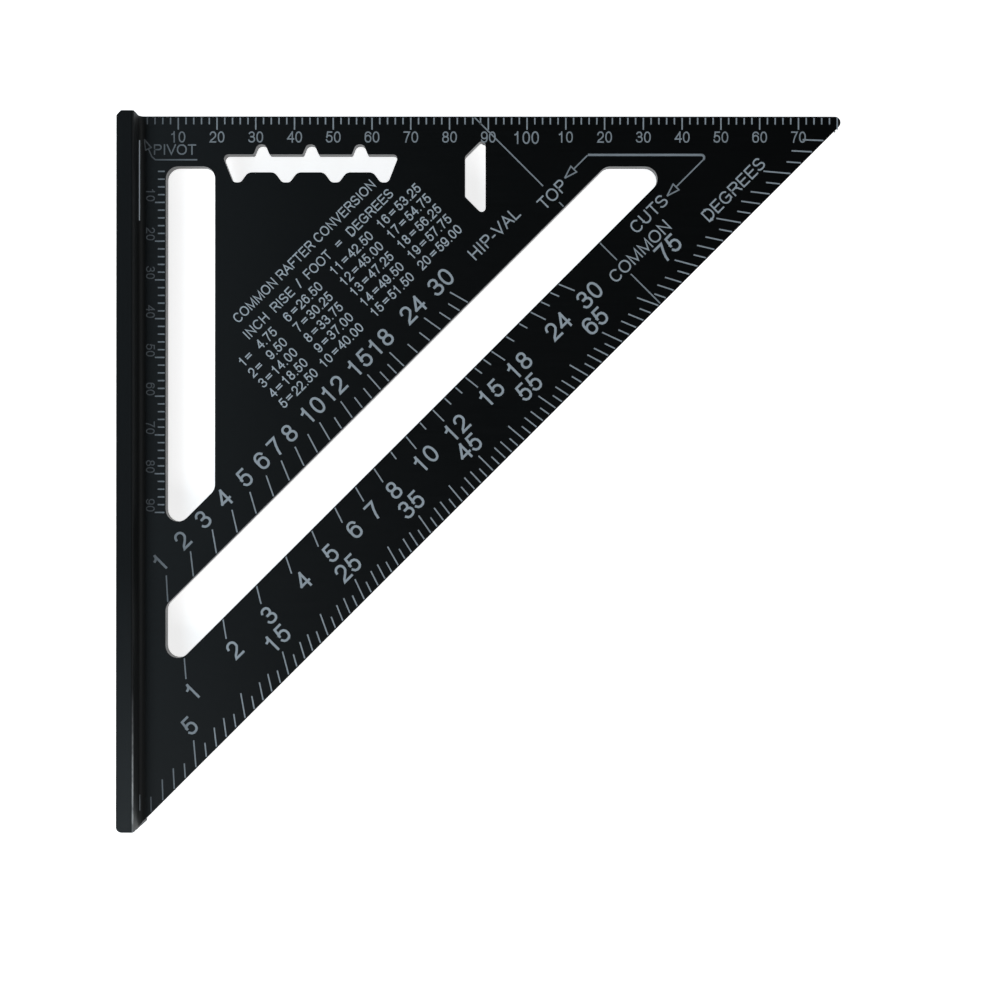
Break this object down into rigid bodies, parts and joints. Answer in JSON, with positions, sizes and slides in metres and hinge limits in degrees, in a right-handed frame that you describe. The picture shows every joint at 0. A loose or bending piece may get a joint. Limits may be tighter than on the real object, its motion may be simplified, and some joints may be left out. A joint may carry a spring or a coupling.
{
  "type": "speed square",
  "caption": "Triangular metric rafter square: flat blade with a T-shaped fence, edge and slot rulers, degree and rafter scales, scribing notches and cut-out slots.",
  "frame": {"origin": "the pivot corner, where the ruler edge meets the inner face of the fence, half way through the blade's thickness", "axes": "+X out along the ruler edge away from the fence, -Y down along the fence, +Z out of the front face, so the square lies flat with its front face up"},
  "size_m": [0.1854, 0.1835, 0.02],
  "materials": {
    "blade_metal": "black anodised, satin, fine brushed grain",
    "fence_metal": "black anodised, satin, drawn lines along its length",
    "marking": "matt pale grey-blue marking"
  },
  "bodies": {
    "root": {"blade": "blade_metal", "fence": "fence_metal", "front_edge_rule": "marking", "front_slot_rule": "marking", "front_degree_scale": "marking", "front_common_scale": "marking", "front_hip_valley_scale": "marking", "front_square_line": "marking", "front_pivot_pointer": "marking", "front_cut_pointers": "marking", "back_edge_rule": "marking", "back_slot_rule": "marking", "back_degree_scale": "marking", "back_common_scale": "marking", "back_hip_valley_scale": "marking", "back_square_line": "marking", "back_pivot_pointer": "marking", "back_cut_pointers": "marking"}
  },
  "joints": []
}
